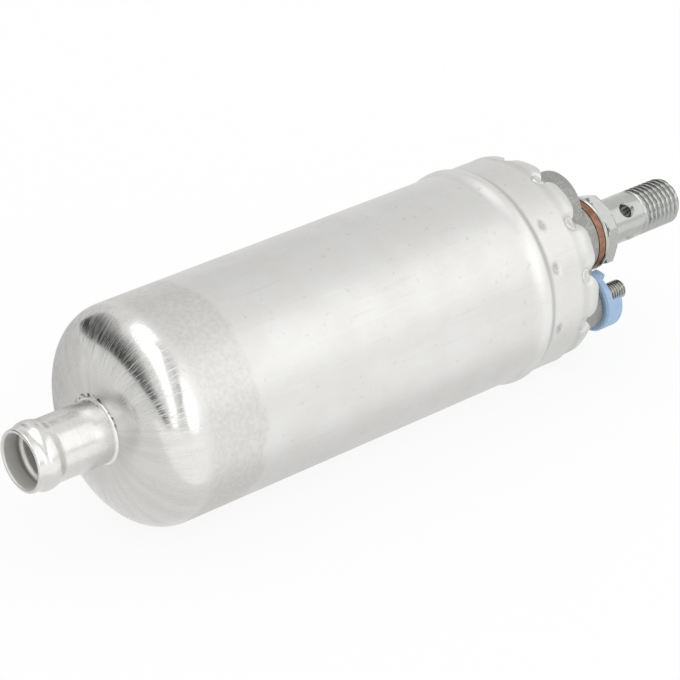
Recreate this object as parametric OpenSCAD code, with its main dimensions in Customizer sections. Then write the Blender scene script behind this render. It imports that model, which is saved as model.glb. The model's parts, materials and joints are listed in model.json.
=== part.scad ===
// Inline electric fuel pump: a roller cell pump and its motor in one crimped aluminium can.
// The pump's axis lies along X, from the inlet nipple at -X to the outlet valve at +X, and +Z is up.
// The origin is on the axis, in the middle of the band where a clamp holds the can.

/* [Can] */
// Outer diameter of the can
can_d = 52.5; // [50:0.5:58]
// Wall of the can
can_wall = 1.3; // [1:0.1:1.6]
// Length from the flat of the dome to the start of the crimp
can_len = 125.3; // [118:0.1:140]
// Diameter of the flat on the dome, round the nipple
dome_flat_d = 19.8; // [18.6:0.1:24]
// Depth of the dome's rounded corner, along the pump
dome_depth = 11.6; // [8:0.1:14]
// Height of the swaged ring over the can
ring_h = 0.9; // [0.4:0.1:1.6]
// Length of the ring's gentle side, which faces the inlet
ring_rise = 5.3; // [3:0.1:7]
// Length of the ring's steep side
ring_fall = 2.4; // [1.4:0.1:5]
// Distance from the middle of the ring to the start of the crimp
ring_to_crimp = 12.3; // [9:0.1:18]
// Length of the crimped rim past the straight wall
crimp_len = 6.4; // [5.4:0.1:7.4]
// How far the crimped rim is folded in
crimp_in = 3.6; // [3:0.1:4.2]
// Number of lobes round the crimped rim
crimp_lobes = 12; // [10:1:16]
// Depth of the cusps between the lobes
lobe_depth = 3; // [1.5:0.1:3.4]
// Depth of the pinch that runs up to each cusp
pinch_depth = 1.5; // [0.5:0.1:1.6]
// Length of each pinch, along the pump
pinch_len = 7; // [4:0.1:9]
// Distance from the dome's flat to the middle of the clamp band
clamp_mid = 59.3; // [45:0.1:75]

/* [Inlet nipple] */
// Outer diameter of the nipple
nipple_d = 15; // [14:0.1:16]
// Bore of the nipple
nipple_bore = 13.1; // [12.4:0.1:13.4]
// Free length of the nipple
nipple_len = 20.7; // [17:0.1:30]
// Height of the hose bead
bead_h = 0.65; // [0.3:0.05:0.9]
// Width of the hose bead
bead_w = 3.8; // [2.6:0.1:4.4]
// Distance from the mouth to the middle of the bead
bead_to_mouth = 3.6; // [3:0.1:6]
// Length of the strainer inside the dome
strainer_len = 8.6; // [6:0.1:9.4]

/* [Pump section] */
// Thickness of the inlet plate
inlet_plate_t = 9; // [8:0.1:11]
// Thickness of the cam ring
cam_t = 10; // [8:0.1:13]
// Thickness of the outlet plate
outlet_plate_t = 8; // [7.5:0.1:10]
// Wall of the cam ring, where its bore is central
cam_wall = 7.3; // [7.1:0.1:7.6]
// Offset of the cam ring's bore from the shaft
eccentricity = 1.5; // [1.2:0.05:1.7]
// Diameter of the rollers
roller_d = 6; // [5:0.1:6.4]
// Diameter of the relief valve's ball
relief_ball_d = 3.8; // [3.4:0.1:4.2]
// Bore of the relief valve's seat
relief_seat_d = 2.4; // [1.8:0.1:2.8]
// Diameter of the pump screws
pump_screw_d = 3; // [2.5:0.1:3.2]

/* [Motor] */
// Diameter of the shaft
shaft_d = 6; // [5:0.1:7]
// Wall of the steel flux tube
flux_wall = 2.3; // [1.6:0.1:3]
// Thickness of the magnets
magnet_t = 6; // [4:0.1:7]
// Angle that each magnet spans
magnet_span = 140; // [110:5:150]
// Air gap between the magnets and the armature
air_gap = 0.7; // [0.4:0.1:1.2]
// Length of the windings' end turns
end_turn_len = 6.5; // [4:0.1:9]
// Diameter of the commutator
commutator_d = 18; // [16:0.5:20]
// Length of the commutator
commutator_len = 10; // [9:0.1:13]
// Length of each brush
brush_len = 7.5; // [6:0.1:8]
// Width of each brush, along the pump
brush_w = 6; // [4:0.1:7]
// Thickness of each brush, round the commutator
brush_t = 5; // [4:0.1:6]

/* [End cover] */
// Length of the cover's flange inside the can
flange_len = 10.5; // [10:0.1:13]
// Thickness of the cover's face plate
plate_t = 4.5; // [4:0.1:5.5]
// Diameter of the outlet boss
boss_d = 18; // [17.5:0.1:19]
// Height of the outlet boss over the face plate
boss_h = 17.6; // [16:0.1:20]
// Diameter of the round lug beside the boss
lug_d = 18; // [14:0.1:20]
// Height of the lug over the face plate
lug_h = 8; // [4:0.1:10]
// Gap between the lug and the crimped rim
lug_gap = 0.65; // [0.3:0.05:1.6]
// Thickness of the sealing ring's section
seal_d = 2.4; // [2:0.1:2.6]

/* [Terminals] */
// Diameter of the positive stud's thread
plus_stud_d = 4.8; // [4:0.1:5]
// Height of the positive pedestal over the face plate
plus_pedestal_h = 13.1; // [10:0.1:14]
// Diameter of the positive pedestal
plus_pedestal_d = 12.6; // [11:0.1:12.6]
// Length of the positive stud past its shroud's floor
plus_stud_len = 9.8; // [7:0.1:12]
// Diameter of the terminal shroud
shroud_d = 15.2; // [13.4:0.1:15.6]
// Wall of the terminal shroud
shroud_wall = 1.5; // [1:0.1:2]
// Thickness of the shroud's floor
shroud_floor = 2.2; // [1.6:0.1:3]
// Height of the shroud's guard over its floor
guard_h = 2.9; // [1:0.1:5]
// Height of the shroud's two small tabs over its floor
tab_h = 1.7; // [0.6:0.1:2.6]
// Diameter of the negative stud's thread
minus_stud_d = 3.9; // [3.4:0.1:4.2]
// Height of the negative pedestal over the face plate
minus_pedestal_h = 8; // [5:0.1:9]
// Diameter of the negative pedestal
minus_pedestal_d = 9.6; // [9:0.1:11]
// Length of the negative stud past its insulator
minus_stud_len = 9; // [6:0.1:10]

/* [Outlet valve] */
// Width of the groove between the banjo neck and the outlet thread
groove_len = 0.9; // [0.5:0.1:1.5]
// Outer diameter of the copper washer
washer_d = 18.6; // [17.8:0.1:19.4]
// Thickness of the copper washer
washer_t = 2.4; // [1:0.1:2.6]
// Width across the flats of the hexagon
hex_af = 17; // [16:0.5:19]
// Thickness of the hexagon
hex_t = 3.9; // [2.5:0.1:6]
// Thickness of the washer face under the hexagon
hex_face_t = 0.7; // [0.4:0.1:1.2]
// Diameter of the banjo neck
neck_d = 11.84; // [11.4:0.02:12]
// Length of the banjo neck
neck_len = 11.8; // [10:0.1:16]
// Diameter of the outlet thread
outlet_thread_d = 11.76; // [11:0.02:11.8]
// Length of the outlet thread, with its point
outlet_thread_len = 13.5; // [8:0.1:18]
// Diameter of the thread that screws into the cover
valve_screw_d = 13.9; // [13:0.1:14]
// Length of the thread that screws into the cover
valve_screw_len = 10; // [9:0.1:11]
// Diameter of the four cross holes in the neck
cross_hole_d = 3.4; // [2:0.1:3.6]
// Distance of the cross holes from the outlet thread
cross_hole_back = 4.7; // [3:0.1:6]
// Diameter of the valve's ball
valve_ball_d = 6.4; // [6:0.1:6.8]

/* [Hidden] */
$fn = 72;
ROLLERS = 5;

// Clearances of parts that are pressed or seated, that run, and that slide in
seat_gap = 0.02;
run_gap = 0.04;
loose_gap = 0.15;
eps = 0.01;

// Stations along the axis, from the flat of the dome
can_r = can_d / 2;
can_in_r = can_r - can_wall;
dome_flat_r = dome_flat_d / 2;
crimp_st = can_len;
rim_r = can_r - crimp_in;
rim_st = crimp_st + crimp_len;
rim_power = 0.45;
ring_mid = crimp_st - ring_to_crimp;
inner_r = can_in_r - loose_gap;
plate_st = dome_depth;
cam_st = plate_st + inlet_plate_t;
outlet_plate_st = cam_st + cam_t;
stack_end = outlet_plate_st + outlet_plate_t;
face_st = crimp_st + 4;
cavity_st = face_st - plate_t;
cover_st = crimp_st + 1.5 - flange_len;
boss_st = face_st + boss_h;

// Round the axis, angles count from straight down towards +Y
lobe_pitch = 360 / crimp_lobes;
lobe_phase = 17;
lug_angle = 194;
plus_angle = 324.6;
minus_angle = 71;
hex_phase = 5.6;
cross_hole_phase = 43.1;

// Pump section
cam_bore_r = inner_r - cam_wall;
rotor_r = cam_bore_r - eccentricity - 0.1;
roller_r = roller_d / 2;
roller_orbit = rotor_r - roller_r - 0.05;
screw_r = pump_screw_d / 2;
screw_orbit = inner_r - screw_r - 1.7;
screw_head_r = screw_r + 1.1;
screw_head_t = 1.6;
relief_orbit = inner_r - relief_ball_d / 2 - 2.4;
relief_ball_r = relief_ball_d / 2;
relief_seat_r = relief_seat_d / 2;
relief_chamber_r = relief_ball_r + 0.4;
relief_seat_t = 1.5;
relief_seat_st = cam_st - relief_seat_t;
relief_ball_st = relief_seat_st - sqrt(pow(relief_ball_r, 2) - pow(relief_seat_r, 2)) - seat_gap;
retainer_t = 1.3;
retainer_st = plate_st + 0.2;

// Motor
shaft_r = shaft_d / 2;
shaft_flat = shaft_r * 0.8;
shaft_start = cam_st - 6;
bush_wall = 2.4;
pump_bush_len = outlet_plate_t;
pump_bush_st = outlet_plate_st + 1;
rear_bush_len = 6.5;
rear_bush_st = cavity_st - rear_bush_len - 1;
rear_bush_wall = 1.5;
hub_r = shaft_r + rear_bush_wall + 2.4;
shaft_end = rear_bush_st + rear_bush_len - 0.8;
flux_r = inner_r;
flux_in_r = flux_r - flux_wall;
magnet_r = flux_in_r - 0.1;
magnet_in_r = magnet_r - magnet_t;
core_r = magnet_in_r - air_gap;
holder_t = 1.8;
holder_st = cover_st - holder_t - 0.1;
commutator_end = holder_st - 1;
commutator_st = commutator_end - commutator_len;
core_st = stack_end + 4.5 + end_turn_len;
core_end = commutator_st - 1.2 - end_turn_len;
core_len = core_end - core_st;
magnet_overhang = 3;
slots = 8;
slot_r = 2.6;
slot_orbit = core_r - slot_r - 2;
slot_mouth = 1.6;
commutator_r = commutator_d / 2;
brush_mid = commutator_st + commutator_len / 2;
brush_in = commutator_r + run_gap;
brush_out = brush_in + brush_len;
guide_wall = 0.9;
guide_gap = 0.08;
guide_end = flux_in_r - 0.3;
brush_spring_r = 1.7;

// Cover, terminals and valve
cavity_r = inner_r - 3.6;
groove_st = cover_st + 3.6;
groove_w = seal_d + 0.3;
groove_r = inner_r - seal_d + loose_gap / 2;
boss_r = boss_d / 2;
terminal_r = rim_r - plus_pedestal_d / 2 - loose_gap;
stud_head_r = 3.8;
stud_head_t = 2;
fibre_t = 2;
fibre_r = 4.1;
sleeve_wall = 0.8;
seal_room = 1.6;
shank_extra = 0.3;
plus_shank_r = plus_stud_d / 2 + shank_extra;
minus_shank_r = minus_stud_d / 2 + shank_extra;
plus_hole_r = plus_shank_r + sleeve_wall + loose_gap;
minus_hole_r = minus_shank_r + sleeve_wall + loose_gap;
plus_top = face_st + plus_pedestal_h;
plus_floor = plus_top + shroud_floor;
minus_top = face_st + minus_pedestal_h;
minus_insulator_t = 1.5;
minus_floor = minus_top + minus_insulator_t;
valve_screw_r = valve_screw_d / 2;
valve_hole_r = valve_screw_r + 0.05;
valve_bottom = boss_st - valve_screw_len;
valve_hole_st = valve_bottom - 1;
valve_face = boss_st + washer_t;
hex_st = valve_face + hex_face_t;
neck_st = hex_st + hex_t;
thread_st = neck_st + neck_len;
valve_end = thread_st + outlet_thread_len;
neck_r = neck_d / 2;
outlet_thread_r = outlet_thread_d / 2;
thread_point = 1.1;
groove_depth = 0.4;
valve_ball_r = valve_ball_d / 2;
valve_seat_r = valve_ball_r * 0.69;
valve_seat_t = 3;
valve_chamber_r = valve_ball_r + 1.4;
valve_seat_st = valve_bottom + 0.2;
valve_ball_st = valve_seat_st + valve_seat_t + seat_gap
    + sqrt(pow(valve_ball_r, 2) - pow(valve_seat_r, 2));
valve_shoulder = hex_st + 2.3;
passage_r = 2.4;
cross_hole_st = thread_st - cross_hole_back;
valve_coil_r = 2.75;
valve_wire_r = 0.35;

// Colours
alloy = [0.84, 0.84, 0.82];
castgrey = [0.6, 0.61, 0.6];
zinc = [0.72, 0.74, 0.72];
steel = [0.66, 0.67, 0.69];
copper = [0.6, 0.36, 0.22];
bronze = [0.72, 0.56, 0.3];
blue = [0.56, 0.72, 0.9];
black = [0.12, 0.12, 0.13];
ferrite = [0.25, 0.25, 0.26];
fibre = [0.45, 0.3, 0.2];

// Lays a shape that stands on Z along the pump's axis, stations counted from the dome
module along_pump() {
    translate([-clamp_mid, 0, 0])
        rotate([0, 90, 0])
            children();
}

// Puts a shape at a distance from the axis, at an angle from straight down
module at(angle, radius) {
    rotate([0, 0, angle])
        translate([radius, 0, 0])
            children();
}

// A disc between two stations
module disc(r, from, to) {
    translate([0, 0, from])
        cylinder(r = r, h = to - from);
}

// A ring between two stations
module ring(r_out, r_in, from, to) {
    difference() {
        disc(r_out, from, to);
        disc(r_in, from - 1, to + 1);
    }
}

// Part of a ring, centred on an angle
module sector(r_out, r_in, from, to, middle, span) {
    rotate([0, 0, middle - span / 2])
        rotate_extrude(angle = span)
            translate([r_in, from])
                square([r_out - r_in, to - from]);
}

// A shape turned about the axis, from [radius, station] points
module turned(points) {
    rotate_extrude()
        polygon(points);
}

// Points of a quarter ellipse, from its side to its top or back again, made fuller by a power under 1
function quarter(r, st, half_r, half_st, steps, from = 0, to = 90, power = 1) =
    [for (i = [0:steps])
        let (t = from + (to - from) * i / steps)
            [r + half_r * pow(abs(cos(t)), power), st + half_st * sin(t)]];

// Points of a smooth raised ring, from its near side to its far side
function swell(r, mid, height, rise, fall, steps) =
    [for (i = [-steps:steps])
        [r + height * (1 + cos(180 * i / steps)) / 2, mid + (i < 0 ? rise : fall) * i / steps]];

function back(points) = [for (i = [len(points) - 1:-1:0]) points[i]];

// A wound spring that stands on Z, as one wire with six sides and eight rings a curl
module coil(mean_r, wire_r, length, curls) {
    sides = 6;
    rings = curls * 8;
    rise = length - 2 * wire_r;
    points = [for (i = [0:rings]) for (k = [0:sides - 1])
        let (turn = 360 * i / 8, a = 360 * k / sides, r = mean_r + wire_r * cos(a))
            [r * cos(turn), r * sin(turn), wire_r + rise * i / rings + wire_r * sin(a)]];
    walls = [for (i = [0:rings - 1]) for (k = [0:sides - 1])
        let (a = i * sides + k, b = i * sides + (k + 1) % sides)
            for (f = [[a, a + sides, b + sides], [a, b + sides, b]]) f];
    first = [[for (k = [0:sides - 1]) k]];
    last = [[for (k = [sides - 1:-1:0]) rings * sides + k]];
    polyhedron(points, concat(walls, first, last), convexity = 10);
}

// The can, drawn from one sheet: dome, swaged ring and the crimped rim with its lobes
module housing_can() {
    hole_r = nipple_d / 2 + seat_gap;
    dome_r = can_r - dome_flat_r;
    dome_in_r = can_in_r - dome_flat_r;
    in_depth = dome_depth - can_wall;
    dome_out = quarter(dome_flat_r, dome_depth, dome_r, -dome_depth, 12, 90, 0);
    dome_in = quarter(dome_flat_r, dome_depth, dome_in_r, -in_depth, 10, 0, 90);
    swell_out = swell(can_r, ring_mid, ring_h, ring_rise, ring_fall, 5);
    swell_in = back(swell(can_in_r, ring_mid, ring_h, ring_rise, ring_fall, 4));
    rim_out = quarter(rim_r, crimp_st, crimp_in, crimp_len, 8, 0, 90, rim_power);
    rim_in = quarter(rim_r, crimp_st, crimp_in - can_wall, crimp_len - can_wall, 6, 90, 0, rim_power);
    cusp_r = can_r - 2.2;
    half_pitch = cusp_r * sin(lobe_pitch / 2);
    lobe_r = (pow(half_pitch, 2) + pow(lobe_depth, 2)) / (2 * lobe_depth);
    pinch_r = 4;
    pinch_tilt = atan(pinch_depth / pinch_len);
    color(alloy)
        along_pump()
            difference() {
                turned(concat([[hole_r, 0]], dome_out, swell_out, rim_out, rim_in, swell_in, dome_in,
                    [[hole_r, can_wall]]));
                difference() {
                    ring(can_r + 2, rim_r - 2, crimp_st + 1, rim_st + 2);
                    for (i = [0:crimp_lobes - 1])
                        rotate([0, 0, lobe_phase + (i + 0.5) * lobe_pitch])
                            translate([0, 0, rim_st - lobe_r + eps])
                                rotate([0, 90, 0])
                                    cylinder(r = lobe_r, h = can_r + 5);
                }
                for (i = [0:crimp_lobes - 1])
                    at(lobe_phase + i * lobe_pitch, can_r + pinch_r)
                        translate([0, 0, crimp_st - pinch_len / 2])
                            rotate([0, -pinch_tilt, 0])
                                disc(pinch_r, -2, 2 * pinch_len);
            }
}

// The hose nipple, pressed into the dome and swaged behind it
module inlet_nipple() {
    r = nipple_d / 2;
    in_r = nipple_bore / 2;
    mouth = -nipple_len;
    bead_mid = mouth + bead_to_mouth;
    swage_t = 0.9;
    swage_r = r + 1.7;
    edge = 0.25;
    color(alloy)
        along_pump()
            turned(concat(
                [[in_r, mouth + edge], [in_r + edge, mouth], [r - edge, mouth], [r, mouth + edge]],
                swell(r, bead_mid, bead_h, bead_w / 2, bead_w / 2, 6),
                [[r, can_wall + seat_gap], [swage_r, can_wall + seat_gap]],
                [[swage_r, can_wall + swage_t], [in_r, can_wall + swage_t]],
                back(swell(in_r, bead_mid, bead_h, bead_w / 2, bead_w / 2, 4))));
}

// The gauze cup that hangs in the dome from the nipple's inner end
module inlet_strainer() {
    flange_r = nipple_bore / 2 - seat_gap;
    cup_r = flange_r - 1;
    cup_wall = 0.5;
    start = can_wall - 0.8;
    end = can_wall + strainer_len;
    windows = 6;
    color(fibre)
        along_pump()
            difference() {
                union() {
                    disc(flange_r, start, start + 1.2);
                    disc(cup_r, start, end);
                }
                disc(cup_r - cup_wall, start - 1, end - cup_wall);
                for (i = [0:windows / 2 - 1])
                    rotate([0, 0, i * 360 / windows])
                        translate([-flange_r - 1, -1.5, start + 2.2])
                            cube([2 * flange_r + 2, 3, end - start - 3.6]);
            }
}

// A kidney port with round ends
module kidney(orbit, width, from, to, middle, span) {
    sector(orbit + width / 2, orbit - width / 2, from, to, middle, span);
    for (side = [-0.5, 0.5])
        at(middle + side * span, orbit)
            disc(width / 2, from, to);
}

// Places the pump screws' centres
module at_pump_screws() {
    for (i = [0:3])
        at(45 + i * 90, screw_orbit)
            children();
}

// Suction side of the pump, with the relief valve's chamber and the blind bore for the shaft
module inlet_plate() {
    end = cam_st;
    color(castgrey)
        along_pump()
            difference() {
                disc(inner_r, plate_st, end);
                kidney(cam_bore_r - 2.6, 3.4, plate_st - 1, end + 1, 90, 80);
                disc(shaft_r + run_gap, shaft_start - 1, end + 1);
                at_pump_screws() {
                    disc(screw_r + 0.1, plate_st - 1, end + 1);
                    disc(screw_head_r + 0.15, plate_st - 1, plate_st + screw_head_t + 0.2);
                }
                at(180, relief_orbit) {
                    disc(relief_chamber_r, plate_st - 1, relief_seat_st);
                    disc(relief_seat_r, plate_st, end + 1);
                }
            }
}

// The eccentric ring that the rollers run in
module cam_ring() {
    color(steel)
        along_pump()
            difference() {
                disc(inner_r, cam_st, outlet_plate_st);
                translate([eccentricity, 0, 0])
                    disc(cam_bore_r, cam_st - 1, outlet_plate_st + 1);
                at_pump_screws()
                    disc(screw_r + 0.1, cam_st - 1, outlet_plate_st + 1);
                at(180, relief_orbit)
                    disc(relief_seat_r, cam_st - 1, outlet_plate_st + 1);
            }
}

// Pressure side of the pump, which carries the front bush
module outlet_plate() {
    start = outlet_plate_st;
    hub = 1;
    color(castgrey)
        along_pump()
            difference() {
                union() {
                    disc(inner_r, start, stack_end);
                    disc(shaft_r + bush_wall + 2, start, stack_end + hub);
                }
                kidney(cam_bore_r - 2.6, 3.4, start - 1, stack_end + 1, 270, 80);
                disc(shaft_r + 0.3, start - 1, stack_end);
                disc(shaft_r + bush_wall + seat_gap, pump_bush_st, stack_end + hub + 1);
                at_pump_screws()
                    disc(screw_r + 0.05, start - 1, start + 6);
                at(180, relief_orbit)
                    disc(relief_seat_r, start - 1, stack_end + 1);
            }
}

// The slotted rotor that carries the rollers round
module pump_rotor() {
    color(steel)
        along_pump()
            difference() {
                disc(rotor_r, cam_st + run_gap, outlet_plate_st - run_gap);
                difference() {
                    disc(shaft_r + seat_gap, cam_st - 1, outlet_plate_st + 1);
                    translate([shaft_flat + seat_gap, -shaft_r - 1, cam_st - 2])
                        cube([shaft_r, 2 * shaft_r + 2, cam_t + 4]);
                }
                for (i = [0:ROLLERS - 1])
                    at((i + 0.5) * 360 / ROLLERS, roller_orbit) {
                        disc(roller_r + run_gap, cam_st - 1, outlet_plate_st + 1);
                        translate([0, -roller_r - run_gap, cam_st - 1])
                            cube([rotor_r, 2 * (roller_r + run_gap), cam_t + 2]);
                    }
            }
}

// One steel roller, drawn in to the bottom of its slot
module pump_roller(index) {
    color(zinc)
        along_pump()
            at((index - 0.5) * 360 / ROLLERS, roller_orbit)
                disc(roller_r, cam_st + run_gap, outlet_plate_st - run_gap);
}

// The four screws that hold the plates and the cam ring together
module pump_screws() {
    tip = outlet_plate_st + 5.6;
    color(steel)
        along_pump()
            at_pump_screws() {
                disc(screw_r, plate_st + 0.1, tip);
                difference() {
                    disc(screw_head_r, plate_st + 0.2, plate_st + 0.2 + screw_head_t);
                    translate([-screw_head_r - 1, -0.3, plate_st])
                        cube([2 * screw_head_r + 2, 0.6, 0.8]);
                }
            }
}

module relief_valve_ball() {
    color(zinc)
        along_pump()
            at(180, relief_orbit)
                translate([0, 0, relief_ball_st])
                    sphere(r = relief_ball_r);
}

module relief_valve_spring() {
    start = retainer_st + retainer_t + seat_gap;
    end = relief_ball_st - relief_ball_r * 0.86;
    color(steel)
        along_pump()
            at(180, relief_orbit)
                translate([0, 0, start])
                    coil(relief_ball_r * 0.62, 0.2, end - start, 4);
}

// The drilled plug that holds the relief valve's spring
module relief_valve_retainer() {
    color(bronze)
        along_pump()
            at(180, relief_orbit)
                ring(relief_chamber_r - seat_gap, 0.7, retainer_st, retainer_st + retainer_t);
}

module pump_bush() {
    color(bronze)
        along_pump()
            ring(shaft_r + bush_wall, shaft_r + run_gap, pump_bush_st, pump_bush_st + pump_bush_len);
}

// The shaft, with a flat that drives the rotor
module motor_shaft() {
    color(steel)
        along_pump()
            difference() {
                disc(shaft_r, shaft_start, shaft_end);
                translate([shaft_flat, -shaft_r - 1, shaft_start - 1])
                    cube([shaft_r, 2 * shaft_r + 2, outlet_plate_st - shaft_start + 1]);
            }
}

// The laminated core, with a round slot and a narrow mouth for each coil
module armature_core() {
    color(ferrite)
        along_pump()
            difference() {
                disc(core_r, core_st, core_end);
                disc(shaft_r + seat_gap, core_st - 1, core_end + 1);
                for (i = [0:slots - 1])
                    at(i * 360 / slots, slot_orbit) {
                        disc(slot_r, core_st - 1, core_end + 1);
                        translate([0, -slot_mouth / 2, core_st - 1])
                            cube([core_r, slot_mouth, core_len + 2]);
                    }
            }
}

// The copper in the slots and the end turns that join it
module armature_windings() {
    in_r = shaft_r + 2;
    out_r = core_r - 1;
    bend = 2;
    color(copper)
        along_pump() {
            turned([[in_r, core_st - 0.1], [in_r + 1, core_st - end_turn_len],
                [out_r - bend, core_st - end_turn_len], [out_r, core_st - end_turn_len + bend],
                [out_r, core_st - 0.1]]);
            turned([[in_r, core_end + 0.1], [out_r, core_end + 0.1],
                [out_r, core_end + end_turn_len - bend], [out_r - bend, core_end + end_turn_len],
                [in_r + 1, core_end + end_turn_len]]);
            for (i = [0:slots - 1])
                at(i * 360 / slots, slot_orbit)
                    disc(slot_r - 0.2, core_st - 1, core_end + 1);
        }
}

// Copper segments on their hub, parted by narrow slits
module commutator() {
    slit = 0.6;
    slit_depth = 1.3;
    color(copper)
        along_pump()
            difference() {
                ring(commutator_r, shaft_r + seat_gap, commutator_st, commutator_end);
                for (i = [0:slots - 1])
                    at((i + 0.5) * 360 / slots, commutator_r - slit_depth)
                        translate([0, -slit / 2, commutator_st - 1])
                            cube([slit_depth + 1, slit, commutator_len + 2]);
            }
}

// Steel tube that carries the magnets and spaces the pump section from the cover
module flux_tube() {
    color(zinc)
        along_pump()
            ring(flux_r, flux_in_r, stack_end + seat_gap, cover_st - seat_gap);
}

module magnet(middle) {
    color(ferrite)
        along_pump()
            sector(magnet_r, magnet_in_r, core_st - magnet_overhang, core_end + magnet_overhang,
                middle, magnet_span);
}

// Two bent strips that press the magnets apart
module magnet_clips() {
    span = 180 - magnet_span - 4;
    color(steel)
        along_pump()
            for (middle = [90, 270])
                sector(magnet_r, magnet_r - 1.2, core_st - magnet_overhang, core_end + magnet_overhang,
                    middle, span);
}

// Moulded plate with the two guides that the brushes slide in
module brush_holder() {
    hole_r = hub_r + 0.5;
    open_w = brush_w + 2 * guide_gap;
    open_t = brush_t + 2 * guide_gap;
    guide_w = open_w + 2 * guide_wall;
    guide_t = open_t + 2 * guide_wall;
    guide_in = commutator_r + 0.8;
    guide_len = holder_st - brush_mid + guide_w / 2 + eps;
    color(black)
        along_pump()
            difference() {
                union() {
                    ring(flux_in_r - 0.1, hole_r, holder_st, holder_st + holder_t);
                    for (angle = [0, 180])
                        rotate([0, 0, angle])
                            translate([guide_in, -guide_t / 2, brush_mid - guide_w / 2])
                                cube([guide_end - guide_in, guide_t, guide_len]);
                }
                for (angle = [0, 180])
                    rotate([0, 0, angle])
                        translate([guide_in - 1, -open_t / 2, brush_mid - open_w / 2])
                            cube([guide_end - guide_in, open_t, open_w]);
                disc(commutator_r + 0.8, brush_mid - guide_w, holder_st);
            }
}

// A carbon brush, hollowed to the commutator's radius
module brush(angle) {
    color(ferrite)
        along_pump()
            rotate([0, 0, angle])
                difference() {
                    translate([commutator_r - 1, -brush_t / 2, brush_mid - brush_w / 2])
                        cube([brush_out - commutator_r + 1, brush_t, brush_w]);
                    disc(brush_in, brush_mid - brush_w, brush_mid + brush_w);
                }
}

module brush_spring(angle) {
    start = brush_out + seat_gap;
    end = guide_end - 1 - seat_gap;
    color(steel)
        along_pump()
            rotate([0, 0, angle])
                translate([start, 0, brush_mid])
                    rotate([0, 90, 0])
                        coil(brush_spring_r, 0.25, end - start, 4);
}

// Die-cast end cover, with the outlet boss, the lug and a pedestal for each terminal
module end_cover() {
    inset = can_wall + 0.2;
    shoulder = quarter(rim_r, crimp_st, crimp_in - inset, crimp_len - inset, 3, 0, 54, rim_power);
    drill_tilt = 43;
    web_w = 6;
    web_h = 6;
    color(castgrey)
        along_pump()
            difference() {
                union() {
                    turned(concat([[0, cover_st], [inner_r - 0.4, cover_st], [inner_r, cover_st + 0.4],
                        [inner_r, crimp_st - 1.2]], shoulder, [[shoulder[3][0] - 0.2, face_st], [0, face_st]]));
                    disc(boss_r, face_st - 1, boss_st);
                    at(lug_angle, rim_r - lug_gap - lug_d / 2)
                        disc(lug_d / 2, face_st - 1, face_st + lug_h);
                    at(plus_angle, terminal_r)
                        disc(plus_pedestal_d / 2, face_st - 1, plus_top);
                    at(minus_angle, terminal_r)
                        disc(minus_pedestal_d / 2, face_st - 1, minus_top);
                    for (angle = [plus_angle, minus_angle])
                        rotate([0, 0, angle])
                            translate([0, -web_w / 2, face_st - 1])
                                cube([terminal_r, web_w, web_h + 1]);
                }
                ring(cavity_r, hub_r, cover_st - 1, cavity_st);
                disc(hub_r + 1, cover_st - 1, rear_bush_st - 0.3);
                ring(inner_r + 1, groove_r, groove_st, groove_st + groove_w);
                disc(shaft_r + rear_bush_wall + seat_gap, rear_bush_st - 1, rear_bush_st + rear_bush_len);
                at(plus_angle, terminal_r)
                    disc(plus_hole_r, cavity_st - 1, plus_top + 1);
                at(minus_angle, terminal_r)
                    disc(minus_hole_r, cavity_st - 1, minus_top + 1);
                disc(valve_hole_r, valve_hole_st, boss_st + 1);
                disc(3.5, face_st + 2, valve_hole_st + 1);
                rotate([0, 0, lug_angle])
                    translate([0, 0, face_st + 3.5])
                        rotate([0, 180 - drill_tilt, 0])
                            cylinder(r = 1.8, h = 13);
            }
}

// Rubber ring in the cover's groove
module cover_seal() {
    color(black)
        along_pump()
            translate([0, 0, groove_st + groove_w / 2])
                rotate_extrude()
                    translate([inner_r - seal_d / 2 + loose_gap / 2 + seat_gap, 0])
                        circle(d = seal_d - seat_gap, $fn = 32);
}

module rear_bush() {
    color(bronze)
        along_pump()
            ring(shaft_r + rear_bush_wall, shaft_r + run_gap, rear_bush_st, rear_bush_st + rear_bush_len);
}

// A terminal stud with its round head inside the cover and a plain shank up to its floor
module stud(angle, r, floor_st, length) {
    head_end = cavity_st - fibre_t - 0.1;
    tip = floor_st + length;
    shank_r = r + shank_extra;
    point = 0.5;
    color(zinc)
        along_pump()
            at(angle, terminal_r)
                turned([[0, head_end - stud_head_t], [stud_head_r, head_end - stud_head_t],
                    [stud_head_r, head_end], [shank_r, head_end], [shank_r, floor_st], [r, floor_st],
                    [r, tip - point], [r - point, tip], [0, tip]]);
}

// Blue moulding round the positive stud: floor, sleeve, a guard on the outer side and two tabs
module positive_shroud() {
    r = shroud_d / 2;
    hole_r = plus_shank_r + seat_gap;
    sleeve_r = plus_hole_r - 0.05;
    chamfer = 0.5;
    seat_st = plus_top + seat_gap;
    guard_top = plus_floor + guard_h;
    guard_span = 152;
    tab_from = 127;
    tab_to = 150;
    cut_in_r = r - shroud_wall - 0.5;
    color(blue)
        along_pump()
            difference() {
                at(plus_angle, terminal_r)
                    turned([[hole_r, cavity_st + seal_room], [sleeve_r, cavity_st + seal_room],
                        [sleeve_r, seat_st], [r - chamfer, seat_st], [r, seat_st + chamfer],
                        [r, guard_top], [r - shroud_wall, guard_top], [r - shroud_wall, plus_floor],
                        [hole_r, plus_floor]]);
                at(plus_angle, terminal_r) {
                    sector(r + 1, cut_in_r, plus_floor + tab_h, guard_top + 1, 180, 360 - guard_span);
                    for (side = [-1, 1])
                        sector(r + 1, cut_in_r, plus_floor, guard_top + 2,
                            side * (guard_span / 2 + tab_from) / 2, tab_from - guard_span / 2);
                    sector(r + 1, cut_in_r, plus_floor, guard_top + 2, 180, 360 - 2 * tab_to);
                }
                disc(washer_d / 2 + 0.9, plus_top - 1, guard_top + 1);
            }
}

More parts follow.
